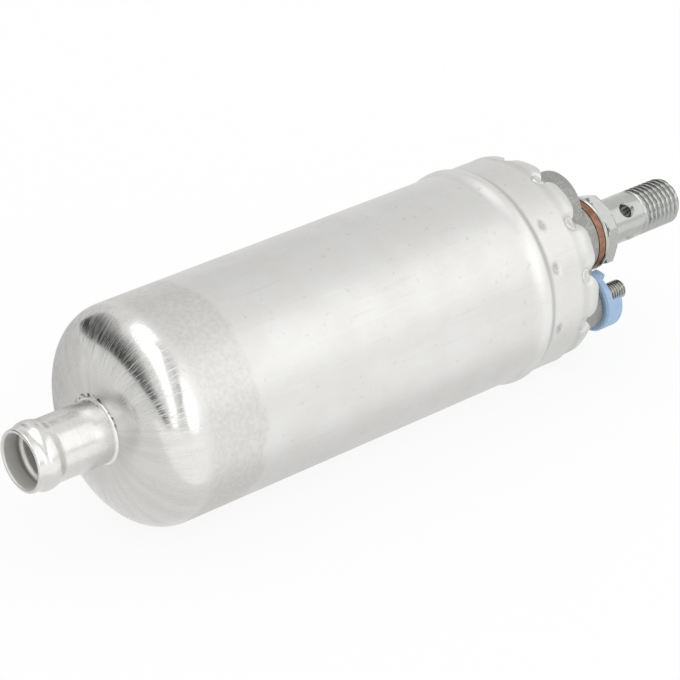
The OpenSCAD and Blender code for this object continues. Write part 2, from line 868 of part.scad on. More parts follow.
// Flanged insulator round the negative stud
module negative_insulator() {
    hole_r = minus_shank_r + seat_gap;
    color(black)
        along_pump()
            at(minus_angle, terminal_r) {
                ring(minus_hole_r - 0.05, hole_r, cavity_st + seal_room, minus_top + eps);
                ring(minus_pedestal_d / 2 - 0.3, hole_r, minus_top, minus_floor);
            }
}

// Fibre washers between the studs' heads and the cover
module stud_washers() {
    start = cavity_st - fibre_t - 0.05;
    color(fibre)
        along_pump() {
            at(plus_angle, terminal_r)
                ring(fibre_r, plus_shank_r + seat_gap, start, cavity_st - 0.05);
            at(minus_angle, terminal_r)
                ring(fibre_r, minus_shank_r + seat_gap, start, cavity_st - 0.05);
        }
}

// Small rubber ring round each stud, between its washer and its insulator
module stud_seals() {
    color(black)
        along_pump()
            for (side = [[plus_angle, plus_shank_r, plus_hole_r],
                    [minus_angle, minus_shank_r, minus_hole_r]])
                at(side[0], terminal_r)
                    translate([0, 0, cavity_st + seal_room / 2])
                        rotate_extrude()
                            translate([(side[1] + side[2]) / 2, 0])
                                circle(d = side[2] - side[1] - 0.06, $fn = 24);
}

module copper_washer() {
    color(copper)
        along_pump()
            ring(washer_d / 2, valve_screw_r + 0.25, boss_st, valve_face);
}

// Outlet valve body: screwed end, washer face, hexagon, banjo neck and outlet thread
module check_valve_body() {
    chamfer = 0.5;
    hex_r = hex_af / 2 / cos(30);
    color(zinc)
        along_pump()
            difference() {
                union() {
                    turned([[0, valve_bottom], [valve_screw_r - 1, valve_bottom], [valve_screw_r, valve_bottom + 1],
                        [valve_screw_r, valve_face], [washer_d / 2 + 0.2, valve_face],
                        [washer_d / 2 + 0.2, hex_st], [0, hex_st]]);
                    intersection() {
                        rotate([0, 0, hex_phase])
                            translate([0, 0, hex_st - eps])
                                cylinder(r = hex_r, h = hex_t + eps, $fn = 6);
                        turned([[0, hex_st - 1], [hex_r - 0.8, hex_st - 1], [hex_r - 0.8, hex_st],
                            [hex_r, hex_st + chamfer], [hex_r, neck_st - chamfer],
                            [hex_r - 1.3, neck_st], [hex_r - 1.3, neck_st + 1], [0, neck_st + 1]]);
                    }
                    disc(neck_r, neck_st - 1, thread_st);
                    disc(neck_r - groove_depth, thread_st - 1, thread_st + groove_len + 1);
                    turned([[0, thread_st + groove_len], [outlet_thread_r, thread_st + groove_len],
                        [outlet_thread_r, valve_end - thread_point], [outlet_thread_r - 0.8, valve_end],
                        [0, valve_end]]);
                }
                disc(valve_chamber_r, valve_bottom - 1, valve_shoulder);
                disc(passage_r, valve_shoulder - 1, cross_hole_st + cross_hole_d);
                for (i = [0, 1])
                    rotate([0, 0, cross_hole_phase + i * 90])
                        translate([-neck_r - 1, 0, cross_hole_st])
                            rotate([0, 90, 0])
                                cylinder(d = cross_hole_d, h = 2 * neck_r + 2);
            }
}

// Seat ring pressed into the valve's lower end
module check_valve_seat() {
    color(bronze)
        along_pump()
            ring(valve_chamber_r - seat_gap, valve_seat_r, valve_seat_st, valve_seat_st + valve_seat_t);
}

module check_valve_ball() {
    color(steel)
        along_pump()
            translate([0, 0, valve_ball_st])
                sphere(r = valve_ball_r);
}

module check_valve_spring() {
    start = valve_ball_st + valve_ball_r * 0.62;
    end = valve_shoulder - seat_gap;
    color(steel)
        along_pump()
            translate([0, 0, start])
                coil(valve_coil_r, valve_wire_r, end - start, 5);
}

housing_can();
inlet_nipple();
inlet_strainer();
inlet_plate();
cam_ring();
outlet_plate();
pump_rotor();
for (i = [1:ROLLERS]) pump_roller(i);
pump_screws();
relief_valve_ball();
relief_valve_spring();
relief_valve_retainer();
pump_bush();
motor_shaft();
armature_core();
armature_windings();
commutator();
flux_tube();
magnet(180);  // magnet_upper
magnet(0);  // magnet_lower
magnet_clips();
brush_holder();
brush(180);  // brush_upper
brush(0);  // brush_lower
brush_spring(180);  // brush_spring_upper
brush_spring(0);  // brush_spring_lower
end_cover();
cover_seal();
rear_bush();
stud(plus_angle, plus_stud_d / 2, plus_floor, plus_stud_len);  // positive_stud
stud(minus_angle, minus_stud_d / 2, minus_floor, minus_stud_len);  // negative_stud
positive_shroud();
negative_insulator();
stud_washers();
stud_seals();
copper_washer();
check_valve_body();
check_valve_seat();
check_valve_ball();
check_valve_spring();
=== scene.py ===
"""The fuel pump as photographed: looks, finer stand-ins for seven solids, studio and camera."""
import json
import math

import bmesh
import bpy
from mathutils import Matrix, Vector


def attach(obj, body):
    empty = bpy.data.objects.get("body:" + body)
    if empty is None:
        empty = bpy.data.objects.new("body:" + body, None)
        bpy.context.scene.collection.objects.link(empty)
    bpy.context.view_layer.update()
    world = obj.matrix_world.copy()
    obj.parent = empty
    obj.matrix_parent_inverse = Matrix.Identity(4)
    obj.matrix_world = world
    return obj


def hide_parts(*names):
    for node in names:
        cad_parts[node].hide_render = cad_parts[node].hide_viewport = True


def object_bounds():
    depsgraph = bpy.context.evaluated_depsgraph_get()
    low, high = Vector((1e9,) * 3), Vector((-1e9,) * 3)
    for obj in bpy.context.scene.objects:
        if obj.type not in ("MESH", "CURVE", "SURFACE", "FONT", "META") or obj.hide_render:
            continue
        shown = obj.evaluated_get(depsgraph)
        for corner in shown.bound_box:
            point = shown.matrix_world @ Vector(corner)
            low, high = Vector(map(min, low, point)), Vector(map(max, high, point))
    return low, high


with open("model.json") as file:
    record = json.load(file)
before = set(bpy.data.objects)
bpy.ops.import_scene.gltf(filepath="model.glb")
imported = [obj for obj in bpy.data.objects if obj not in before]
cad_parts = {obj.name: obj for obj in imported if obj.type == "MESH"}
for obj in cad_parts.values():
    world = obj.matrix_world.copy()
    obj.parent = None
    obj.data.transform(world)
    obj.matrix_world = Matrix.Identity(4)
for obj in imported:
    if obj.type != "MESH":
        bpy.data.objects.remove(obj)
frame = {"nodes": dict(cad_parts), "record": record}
cad_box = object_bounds()
scene = bpy.context.scene

# Camera, at the photograph's angle
cam_data = bpy.data.cameras.new("camera")
cam_data.sensor_width = 36.0
cam_data.lens = 165.04
cam_data.clip_end = 20.0
cam = bpy.data.objects.new("camera", cam_data)
scene.collection.objects.link(cam)
right = Vector((0.75932, -0.65072, 0.0))
up = Vector((0.31087, 0.36274, 0.87851))
back = Vector((-0.57167, -0.66707, 0.47773))

cam.matrix_world = Matrix((
    (right.x, up.x, back.x, -0.40501),
    (right.y, up.y, back.y, -0.48581),
    (right.z, up.z, back.z, 0.34569),
    (0.0, 0.0, 0.0, 1.0),
))
scene.camera = cam
scene.view_settings.view_transform = "Standard"

MM = 0.001
HOUSING_SHARP, TURNED_SHARP = 38.0, 32.0  # angles in degrees, above which an edge stays sharp

# The outlet valve and its washer: places along the pump, radii and turns, in metres and degrees
VALVE_BOTTOM, BOSS, FACE, HEX = 0.0776, 0.0876, 0.0900, 0.0907
NECK, THREAD, TIP = 0.0946, 0.1064, 0.1199
NECK_R, HEX_FLAT, WASHER_R, SCREW_R = 5.92 * MM, 8.5 * MM, 9.5 * MM, 6.95 * MM
UNDERCUT_R = 8.25 * MM
HEX_PHASE, HOLE_PHASE = 5.6, 43.1
CROSS_HOLE, CROSS_HOLE_R, GROOVE = 0.1017, 1.7 * MM, 0.9 * MM
COPPER_IN, COPPER_R, LIP = 7.2 * MM, 9.1 * MM, 0.5 * MM

# The two studs
TERMINAL_R, PLUS_ANGLE, MINUS_ANGLE = 16.2 * MM, 324.6, 71.0
STUD_HEAD = 0.0624

# The can, in millimetres. Stations count from its inlet face, and CLAMP_MID is the frame's origin.
CLAMP_MID = 59.3
CAN_R, WALL, FLAT_R, DOME, RING, CRIMP, RIM_R = 26.25, 1.3, 9.9, 11.6, 112.6, 125.3, 22.65
RING_RISE, RING_FALL, RING_H = 4.0, 2.7, 0.85
RING_GROOVE, GROOVE_PLACE, GROOVE_SPREAD = 0.1, 2.9, 0.8  # the groove at the ring's steep foot
RING_BEFORE, RING_AFTER = 5.6, 4.3  # how far from its crest the ring's fine rows begin and end
COLLAR = 3.0  # how far before the crimp the rim's fine rows begin
FOLD, REACH, FULL = 3.6, 5.5, 0.36
# The lobes of the crimp, the cusps between them and the round pad pressed at each cusp
LOBE_PITCH, LOBE_PHASE, CUSP = 30.0, 17.0, 3.3
LOBE_HALF = LOBE_PITCH / 2.0
CUSP_DEPTH, CUSP_WIDTH = 1.35, 1.9
PAD_STATION, PAD_R, PAD_RISE, MOAT_R, MOAT_DEPTH = 1.1, 1.6, 0.32, 1.62, 0.16
SHORTER = {5: 0.6, 6: 1.2, 8: 0.3, 10: 0.4, 1: 0.3}  # how much less some lobes reach
DENT_ANGLE, DENT_SPREAD, DENT_DEPTH = 170.0, 14.0, 0.5  # where the rim is pressed a little flat
HOLE_R = 7.49  # the hole for the nipple
# Marks of the staking tool on the can: station, angle from the top, width and depth
STAKES = [(117.9, 42.6, 0.9, 0.5), (117.0, 66.9, 0.95, 0.55),
          (117.0, 101.0, 0.9, 0.25), (118.6, -31.0, 0.8, 0.3)]
STAKE_R = 26.2  # radius at which their painted shade lies
# Painted light along the can, as places from the frame's origin: a painted highlight on the ring,
# painted shade at its foot and painted shade where the crimp begins to fold in
CREST_FROM, CREST_TO, FOOT_FROM, FOOT_TO, FOLD_FROM, FOLD_TO = 51.3, 54.1, 54.3, 56.0, 65.0, 67.0

# The nipple, in millimetres from its mouth
NIPPLE_R, BORE_R, BEAD_R, MOUTH = 7.5, 6.55, 8.13, -80.0
NIPPLE_END, FLANGE_END, FLANGE_R = 22.02, 22.9, 9.2


def around(angle, radius, x=0.0):
    """A point at an angle from straight down towards +Y, as in the solids."""
    a = math.radians(angle)
    return Vector((x, radius * math.sin(a), -radius * math.cos(a)))


class Look:
    """A procedural material, built one node at a time."""

    def __init__(self, name, base, metallic, roughness):
        self.mat = bpy.data.materials.new(name)
        self.mat.use_nodes = True
        self.tree = self.mat.node_tree
        self.bsdf = self.tree.nodes["Principled BSDF"]
        self.bsdf.inputs["Base Color"].default_value = (*base, 1.0)
        self.bsdf.inputs["Metallic"].default_value = metallic
        self.bsdf.inputs["Roughness"].default_value = roughness
        coord = self.tree.nodes.new("ShaderNodeTexCoord")
        # Place on the piece in millimetres, and the distance from the pump's axis
        self.at = self.vec("SCALE", coord.outputs["Object"], scale=1000.0)
        parts = self.node("ShaderNodeSeparateXYZ", 0, self.at)
        self.x, self.y, self.z = parts.outputs
        self.r = self.math("SQRT", self.math("ADD", self.math("MULTIPLY", self.y, self.y),
                                             self.math("MULTIPLY", self.z, self.z)))
        self.normal = None

    def node(self, kind, slot=None, value=None):
        n = self.tree.nodes.new(kind)
        if value is not None:
            self.put(n.inputs[slot], value)
        return n

    def put(self, socket, value):
        if isinstance(value, bpy.types.NodeSocket):
            self.tree.links.new(value, socket)
        else:
            socket.default_value = value

    def math(self, op, a, b=None):
        n = self.node("ShaderNodeMath", 0, a)
        n.operation = op
        if b is not None:
            self.put(n.inputs[1], b)
        return n.outputs[0]

    def vec(self, op, a, b=None, scale=None):
        n = self.node("ShaderNodeVectorMath", 0, a)
        n.operation = op
        if b is not None:
            self.put(n.inputs[1], b)
        if scale is not None:
            self.put(n.inputs["Scale"], scale)
        return n.outputs[0]

    def spokes(self, fine, along=0.02):
        """Coordinates that change round the axis, and little along the radius."""
        n = self.node("ShaderNodeCombineXYZ")
        self.put(n.inputs[0], self.math("MULTIPLY", self.math("ADD", self.r, self.x), along))
        self.put(n.inputs[1], self.math("MULTIPLY", self.math("DIVIDE", self.y, self.r), fine))
        self.put(n.inputs[2], self.math("MULTIPLY", self.math("DIVIDE", self.z, self.r), fine))
        return n.outputs[0]

    def hoops(self, fine, round_too=0.04):
        """Coordinates that change along the axis and with the radius, and little round it."""
        n = self.node("ShaderNodeCombineXYZ")
        self.put(n.inputs[0], self.math("MULTIPLY", self.math("ADD", self.x, self.r), fine))
        self.put(n.inputs[1], self.math("MULTIPLY", self.y, round_too))
        self.put(n.inputs[2], self.math("MULTIPLY", self.z, round_too))
        return n.outputs[0]

    def noise(self, scale, detail=2.0, stretch=(1.0, 1.0, 1.0), vector=None, roughness=0.5):
        n = self.node("ShaderNodeTexNoise")
        n.inputs["Scale"].default_value = scale
        n.inputs["Detail"].default_value = detail
        n.inputs["Roughness"].default_value = roughness
        source = self.at if vector is None else vector
        self.put(n.inputs["Vector"], self.vec("MULTIPLY", source, stretch))
        return n.outputs["Fac"]

    def ramp(self, fac, low, high, a=0.0, b=1.0):
        """a below low, b above high, and smooth between."""
        n = self.node("ShaderNodeMapRange", 0, fac)
        n.interpolation_type = "SMOOTHSTEP"
        for slot, value in zip((1, 2, 3, 4), (low, high, a, b)):
            n.inputs[slot].default_value = value
        return n.outputs[0]

    def band(self, value, low, high, soft):
        """1 between low and high, 0 outside, with soft edges."""
        return self.math("MULTIPLY", self.ramp(value, low - soft, low + soft),
                         self.ramp(value, high - soft, high + soft, 1.0, 0.0))

    def spot(self, place, radius, soft, flat=(1.0, 1.0, 1.0)):
        """1 near a point of the surface, in millimetres."""
        d = self.vec("MULTIPLY", self.vec("SUBTRACT", self.at, place), flat)
        n = self.node("ShaderNodeVectorMath", 0, d)
        n.operation = "LENGTH"
        return self.ramp(n.outputs["Value"], radius - soft, radius + soft, 1.0, 0.0)

    def mix(self, fac, a, b):
        """Colour a where fac is 0, and b where it is 1."""
        n = self.node("ShaderNodeMix")
        n.data_type = "RGBA"
        self.put(n.inputs[0], fac)
        self.put(n.inputs[6], (*a, 1.0) if isinstance(a, tuple) else a)
        self.put(n.inputs[7], (*b, 1.0) if isinstance(b, tuple) else b)
        return n.outputs[2]

    def blend(self, fac, a, b):
        """As mix, for plain values."""
        n = self.node("ShaderNodeMix")
        n.data_type = "FLOAT"
        for slot, value in zip((0, 2, 3), (fac, a, b)):
            self.put(n.inputs[slot], value)
        return n.outputs[0]

    def bump(self, height, distance, strength):
        n = self.node("ShaderNodeBump")
        n.inputs["Strength"].default_value = strength
        n.inputs["Distance"].default_value = distance
        self.put(n.inputs["Height"], height)
        if self.normal is not None:
            self.put(n.inputs["Normal"], self.normal)
        self.normal = n.outputs[0]

    def done(self, colour=None, roughness=None):
        if colour is not None:
            self.put(self.bsdf.inputs["Base Color"], colour)
        if roughness is not None:
            self.put(self.bsdf.inputs["Roughness"], roughness)
        if self.normal is not None:
            self.put(self.bsdf.inputs["Normal"], self.normal)
        return self.mat


def can_look():
    """Satin aluminium with a stain behind the dome, the dome itself polished and brushed; painted
    highlights and shade on the ring, crimp and nipple's hole.
    """
    m = Look("can_aluminium", (0.62, 0.615, 0.6), 1.0, 0.4)
    cloud = m.noise(0.09, 4.0, roughness=0.6)
    scuff = m.noise(1.1, 3.0, (0.05, 1.0, 1.0), roughness=0.6)
    speck = m.noise(1.3, 2.0)
    colour = m.mix(m.ramp(cloud, 0.35, 0.7), (0.615, 0.61, 0.595), (0.64, 0.637, 0.625))
    colour = m.mix(m.ramp(scuff, 0.55, 0.75, 0.0, 0.22), colour, (0.72, 0.718, 0.71))
    drag = m.noise(0.7, 4.0, (0.035, 1.0, 1.0), roughness=0.7)
    rub = m.math("MULTIPLY", m.ramp(drag, 0.58, 0.72),
                 m.ramp(m.noise(0.05, 2.0), 0.45, 0.62, 0.0, 0.3))
    colour = m.mix(rub, colour, (0.47, 0.465, 0.45))
    # Painted highlight on the ring's crest, painted shade at its foot, where the crimp folds in and
    # in the staking marks
    # Painted highlight along the ring's crest
    crest = m.band(m.x, CREST_FROM, CREST_TO, 0.6)
    colour = m.mix(m.math("MULTIPLY", crest, 0.25), colour, (0.77, 0.765, 0.75))
    # Painted shade at the ring's steep foot
    foot = m.band(m.x, FOOT_FROM, FOOT_TO, 0.4)
    colour = m.mix(m.math("MULTIPLY", foot, 0.7), colour, (0.48, 0.478, 0.465))
    # Painted shade in the crease where the crimp begins to fold in
    fold = m.band(m.x, FOLD_FROM, FOLD_TO, 0.8)
    colour = m.mix(m.math("MULTIPLY", fold, 0.5), colour, (0.5, 0.498, 0.485))
    for place, turn, wide, _ in STAKES:
        a = math.radians(turn)
        centre = (place - CLAMP_MID, -STAKE_R * math.sin(a), STAKE_R * math.cos(a))
        # Painted shade in each staking dent, speckled
        stake_shade = m.spot(centre, 1.3 * wide, 0.6, (1.3, 0.8, 0.8))
        stake_shade = m.math("MULTIPLY", stake_shade, m.ramp(speck, 0.35, 0.6, 0.35, 0.75))
        colour = m.mix(stake_shade, colour, (0.33, 0.33, 0.32))
    # The stain, with a wavering edge, then pits and smudges all over
    wobble = m.math("MULTIPLY", m.math("SUBTRACT", m.noise(0.12, 2.0), 0.5), 6.0)
    edge = m.math("ADD", m.x, wobble)
    stain = m.ramp(edge, -33.2, -31.8, 1.0, 0.0)
    stain = m.math("MULTIPLY", stain, m.ramp(m.x, -49.0, -46.0))
    grain = m.noise(0.9, 4.0, roughness=0.7)
    dirty = m.mix(m.ramp(grain, 0.35, 0.65), (0.50, 0.49, 0.465), (0.60, 0.59, 0.565))
    colour = m.mix(m.math("MULTIPLY", stain, 0.6), colour, dirty)
    pits = m.ramp(speck, 0.70, 0.76)
    colour = m.mix(m.math("MULTIPLY", pits, 0.3), colour, (0.42, 0.41, 0.39))
    smudge = m.ramp(m.noise(0.55, 3.0), 0.66, 0.74, 0.0, 0.4)
    colour = m.mix(smudge, colour, (0.45, 0.44, 0.42))
    # The dome: brushed wedges, a painted highlight on the lip of the nipple's hole and crumbs of
    # sealant by it
    dome = m.ramp(m.x, -50.5, -47.5, 1.0, 0.0)
    wedge = m.noise(1.0, 3.0, vector=m.spokes(7.0, 0.02), roughness=0.6)
    shine = m.mix(m.ramp(wedge, 0.35, 0.65), (0.6, 0.595, 0.58), (0.645, 0.64, 0.625))
    colour = m.mix(dome, colour, shine)
    # Painted highlight round the lip of the nipple's hole
    lip_highlight = m.math("MULTIPLY", m.ramp(m.r, 7.95, 8.15, 1.0, 0.0), dome)
    colour = m.mix(lip_highlight, colour, (0.8, 0.795, 0.78))
    crumbs = m.math("MULTIPLY", m.band(m.r, 8.0, 8.8, 0.2),
                    m.ramp(m.noise(0.9, 3.0), 0.5, 0.6))
    crumbs = m.math("MULTIPLY", m.math("MULTIPLY", crumbs, dome), m.ramp(m.z, 2.0, 6.0))
    colour = m.mix(crumbs, colour, (0.12, 0.1, 0.085))
    brushed = m.noise(1.0, 4.0, vector=m.spokes(80.0, 0.12), roughness=0.65)
    hairline = m.ramp(brushed, 0.5, 0.6)
    hairline = m.math("MULTIPLY", hairline, m.ramp(m.r, 12.0, 17.0, 0.0, 0.26))
    rough = m.ramp(cloud, 0.3, 0.7, 0.44, 0.4)
    rough = m.blend(dome, rough, m.math("ADD", m.ramp(m.r, 11.0, 17.0, 0.46, 0.17), hairline))
    dents = m.noise(0.16, 1.0)
    m.bump(dents, 0.0004, 0.2)
    m.bump(m.math("MULTIPLY", scuff, m.ramp(m.x, -48.0, -44.0)), 0.00005, 0.5)
    m.bump(m.math("MULTIPLY", pits, -1.0), 0.00006, 0.5)
    return m.done(colour, rough)


def nipple_look():
    """Turned aluminium, with painted light towards the root and in the bore."""
    m = Look("nipple_aluminium", (0.62, 0.615, 0.6), 1.0, 0.2)
    turning = m.noise(2.2, 3.0, vector=m.hoops(1.0))
    tone = m.noise(0.5, 2.0)
    colour = m.mix(m.ramp(turning, 0.35, 0.65), (0.655, 0.65, 0.635), (0.675, 0.67, 0.655))
    # Painted light towards the root, where the dome's dark reflection falls
    root = m.ramp(m.x, -66.0, -62.0)
    colour = m.mix(root, colour, (0.84, 0.835, 0.82))
    bore = m.ramp(m.r, 7.0, 7.2, 1.0, 0.0)
    # Painted light inside the bore, which lies in shade
    bore_painted_light = m.math("MULTIPLY", bore, m.ramp(m.x, -79.9, -79.7))
    colour = m.mix(bore_painted_light, colour, (0.84, 0.835, 0.81))
    m.bump(tone, 0.0002, 0.05)
    return m.done(colour, m.blend(bore, m.ramp(tone, 0.35, 0.65, 0.2, 0.28), 0.55))


def cast_look():
    """Grey die-cast alloy with a fine grain."""
    m = Look("cast_alloy", (0.33, 0.34, 0.335), 0.75, 0.5)
    fine = m.noise(1.6, 4.0, roughness=0.65)
    big = m.noise(0.35, 3.0, roughness=0.6)
    colour = m.mix(m.ramp(fine, 0.35, 0.65), (0.26, 0.262, 0.25), (0.38, 0.382, 0.365))
    colour = m.mix(m.ramp(big, 0.4, 0.62), colour, (0.31, 0.312, 0.30))
    m.bump(fine, 0.0001, 0.6)
    return m.done(colour, m.ramp(big, 0.3, 0.7, 0.42, 0.6))


def zinc_look(name="zinc_plate", warm=0.0):
    """Zinc plate on steel; warm turns it towards yellow."""
    m = Look(name, (0.62, 0.63, 0.61), 1.0, 0.24)
    cloud = m.noise(0.6, 3.0, roughness=0.6)
    turned = m.noise(2.6, 3.0, vector=m.hoops(1.0, 0.15))
    colour = m.mix(m.ramp(cloud, 0.35, 0.65), (0.43, 0.438 - warm * 0.03, 0.42 - warm * 0.07),
                   (0.46, 0.468 - warm * 0.03, 0.448 - warm * 0.08))
    m.bump(turned, 0.000004, 0.3)
    return m.done(colour, m.ramp(turned, 0.3, 0.7, 0.19, 0.23))


def copper_look():
    """Dull copper, turned."""
    m = Look("copper", (0.4, 0.2, 0.11), 1.0, 0.35)
    cloud = m.noise(0.8, 3.0)
    turned = m.noise(3.0, 2.0, vector=m.hoops(1.0))
    colour = m.mix(m.ramp(cloud, 0.35, 0.65), (0.22, 0.115, 0.07), (0.31, 0.17, 0.11))
    m.bump(turned, 0.00004, 0.5)
    return m.done(colour, m.ramp(turned, 0.3, 0.7, 0.3, 0.45))


def plastic_look(name, base, light, roughness=0.42, fine=2.5):
    """Matt moulded material, cloudy between two tones."""
    m = Look(name, base, 0.0, roughness)
    cloud = m.noise(0.5, 2.0)
    grain = m.noise(fine, 2.0)
    colour = m.mix(m.ramp(cloud, 0.3, 0.7), base, light)
    m.bump(grain, 0.00003, 0.4)
    return m.done(colour, m.ramp(grain, 0.3, 0.7, roughness - 0.05, roughness + 0.06))


def metal_look(name, dark, light, roughness, hoops=False):
    """Plain metal between two tones, turned where hoops is set."""
    m = Look(name, dark, 1.0, roughness)
    marks = m.noise(2.0, 3.0, vector=m.hoops(1.0) if hoops else None)
    colour = m.mix(m.ramp(marks, 0.35, 0.65), dark, light)
    m.bump(marks, 0.00004, 0.4)
    return m.done(colour, m.ramp(marks, 0.3, 0.7, roughness - 0.06, roughness + 0.06))


def strands_look():
    """Enamelled copper wire, wound."""
    m = Look("winding_enamel", (0.32, 0.12, 0.05), 0.6, 0.35)
    strand = m.noise(2.6, 2.0, vector=m.hoops(1.0, 0.5))
    colour = m.mix(m.ramp(strand, 0.35, 0.6), (0.2, 0.07, 0.03), (0.5, 0.21, 0.09))
    m.bump(strand, 0.0003, 0.8)
    return m.done(colour)


LOOKS = {
    "can_aluminium": can_look(),
    "nipple_aluminium": nipple_look(),
    "cast_alloy": cast_look(),
    "zinc_steel": zinc_look(),
    "copper": copper_look(),
    "blue_plastic": plastic_look("blue_plastic", (0.31, 0.46, 0.66), (0.36, 0.51, 0.70)),
    "black_plastic": plastic_look("black_plastic", (0.02, 0.02, 0.022),
        (0.035, 0.035, 0.038)),
    "gauze_plastic": plastic_look("gauze_plastic", (0.42, 0.39, 0.34),
        (0.52, 0.49, 0.44), fine=6.0),
    "sintered_steel": metal_look("sintered_steel", (0.16, 0.165, 0.17),
        (0.26, 0.265, 0.27), 0.42),
    "bright_steel": metal_look("bright_steel", (0.5, 0.505, 0.51),
        (0.62, 0.62, 0.63), 0.2, hoops=True),
    "bronze": metal_look("bronze", (0.42, 0.27, 0.11), (0.55, 0.37, 0.17), 0.34),
    "winding_enamel": strands_look(),
    "ferrite": plastic_look("ferrite", (0.035, 0.035, 0.038),
        (0.06, 0.06, 0.065), 0.5, 1.5),
    "fibre": plastic_look("fibre", (0.22, 0.08, 0.045), (0.3, 0.12, 0.07), 0.6, 5.0),
    "rubber": plastic_look("rubber", (0.012, 0.012, 0.012),
        (0.025, 0.025, 0.025), 0.55),
    "carbon": plastic_look("carbon", (0.02, 0.02, 0.02), (0.05, 0.048, 0.046), 0.48, 4.0),
}
GOLD_ZINC = zinc_look("zinc_gold", 0.5)

for part in frame["record"]["subparts"]:
    node = frame["nodes"][part["node"]]
    node.data.materials.clear()
    node.data.materials.append(LOOKS[part["material_slot"]])


def skin(name, rings, segments, centre, phase, look, body):
    """A closed turned form of rings (x, radius), a radius being a number or radius(x, angle)."""
    mesh = bpy.data.meshes.new(name)
    bm = bmesh.new()
    rows = []
    for x, radius in rings:
        row = []
        for k in range(segments):
            angle = phase + 360.0 * k / segments
            r = radius(x, angle) if callable(radius) else radius
            row.append(bm.verts.new(centre + around(angle, r, x)))
        rows.append(row)
    for a, b in zip(rows, rows[1:]):
        for k in range(segments):
            j = (k + 1) % segments
            bm.faces.new((a[k], a[j], b[j], b[k]))
    bm.faces.new(rows[0][::-1])
    bm.faces.new(rows[-1])
    bmesh.ops.recalc_face_normals(bm, faces=bm.faces)
    for face in bm.faces:
        face.smooth = True
    bm.to_mesh(mesh)
    bm.free()
    mesh.set_sharp_from_angle(angle=math.radians(TURNED_SHARP))
    obj = bpy.data.objects.new(name, mesh)
    scene.collection.objects.link(obj)
    mesh.materials.append(look)
    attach(obj, body)
    return obj


def smooth(t):
    t = min(max(t, 0.0), 1.0)
    return t * t * (3.0 - 2.0 * t)


def in_lobe(angle):
    """Place across a lobe of the crimp: 0 at its middle, -1 and 1 at its cusps."""
    return ((angle - LOBE_PHASE) % LOBE_PITCH - LOBE_HALF) / LOBE_HALF


def ring_height(s):
    """Height of the swaged ring: gentle from the inlet, steep behind, with a groove at its foot."""
    d = s - RING
    reach = RING_RISE if d < 0 else RING_FALL
    swell = RING_H * (1.0 + math.cos(math.pi * min(abs(d) / reach, 1.0))) / 2.0
    return swell - RING_GROOVE * math.exp(-((d - GROOVE_PLACE) / GROOVE_SPREAD) ** 2)


def can_outside(s, angle):
    """Radius of the can's outside at a station past the dome."""
    lobe = in_lobe(angle)
    off = (1.0 - abs(lobe)) * math.radians(LOBE_HALF) * CAN_R
    r = CAN_R + ring_height(s)
    z = s - CRIMP
    if z > 0.0:
        t = min(z / REACH, 1.0)
        r = RIM_R + FOLD * max(1.0 - t * t, 0.0) ** (FULL / 2.0)
        r += 0.2 * math.sin(math.pi * min(t * 1.25, 1.0)) * (1.0 - lobe * lobe)
        r -= DENT_DEPTH * smooth(z / 2.5) * math.exp(-((angle - DENT_ANGLE) / DENT_SPREAD) ** 2)
    if z > -COLLAR:
        deep = smooth((z + 1.6) / 3.6)
        r -= CUSP_DEPTH * deep * math.exp(-(off / CUSP_WIDTH) ** 2)
        away = math.sqrt(off * off * 0.75 + (z - PAD_STATION) ** 2)
        pad = PAD_RISE * smooth((PAD_R - away) / 0.45)
        r += pad - MOAT_DEPTH * math.exp(-((away - MOAT_R) / 0.28) ** 2)
    for place, turn, wide, deep in STAKES:
        d = math.radians((180.0 + turn - angle + 180.0) % 360.0 - 180.0) * CAN_R
        q = (d * d * 0.6 + (s - place) ** 2) / (wide * wide)
        if q < 4.0:
            r -= deep * (math.exp(-q) - 0.5 * math.exp(-3.0 * q))
    return r


def can_rings(angle):
    """Points (station, radius) round the sheet's section: out along its outside and back inside."""
    lobe = abs(in_lobe(angle))
    less = SHORTER.get(int((angle - LOBE_PHASE) % 360.0 // LOBE_PITCH), 0.0)
    end = REACH - CUSP + (CUSP - less) * (1.0 - 0.8 * lobe ** 2 - 0.2 * lobe ** 6)
    points = [(-0.5, HOLE_R), (-0.5, 7.65), (-0.36, 7.85), (-0.14, 8.0), (0.0, 8.1)]
    for i in range(25):
        t = math.radians(90.0 - 90.0 * i / 24.0)
        points.append((DOME - DOME * math.sin(t), FLAT_R + (CAN_R - FLAT_R) * math.cos(t)))
    plain = [DOME + (RING - RING_BEFORE - DOME) * i / 16.0 for i in range(1, 17)]
    swaged = [RING - RING_BEFORE + 0.3 * i for i in range(1, 34)]
    behind = CRIMP - COLLAR - RING - RING_AFTER
    collar = [RING + RING_AFTER + behind * i / 20.0 for i in range(1, 21)]
    rim = [CRIMP - COLLAR + 0.25 * i for i in range(1, 12)]
    points += [(s, can_outside(s, angle)) for s in plain + swaged + collar + rim]
    for i in range(1, 25):
        s = CRIMP - 0.25 + (end + 0.25 - 0.02) * math.sin(math.radians(90.0 * i / 24.0))
        points.append((s, can_outside(s, angle)))
    edge_s, edge_r = points[-1]
    thick = WALL * (1.0 - lobe) + 0.15 * lobe
    inner_end = edge_s - thick
    for i in range(9):
        s = inner_end - (inner_end - CRIMP) * i / 8.0
        t = min(max((s - CRIMP) / (REACH - WALL), 0.0), 1.0)
        inner = RIM_R + (FOLD - WALL) * (1.0 - t * t) ** (FULL / 2.0)
        points.append((s, min(inner, edge_r - 0.02 - 0.6 * lobe + (inner_end - s) * 0.8)))
    for s in (RING + 4.0, RING + 2.0, RING, RING - 3.0, RING - RING_BEFORE, DOME):
        points.append((s, CAN_R - WALL + max(ring_height(s), 0.0)))
    for i in range(1, 11):
        t = math.radians(9.0 * i)
        points.append((DOME - (DOME - WALL) * math.sin(t),
                       FLAT_R + (CAN_R - WALL - FLAT_R) * math.cos(t)))
    points.append((WALL, HOLE_R))
    return points


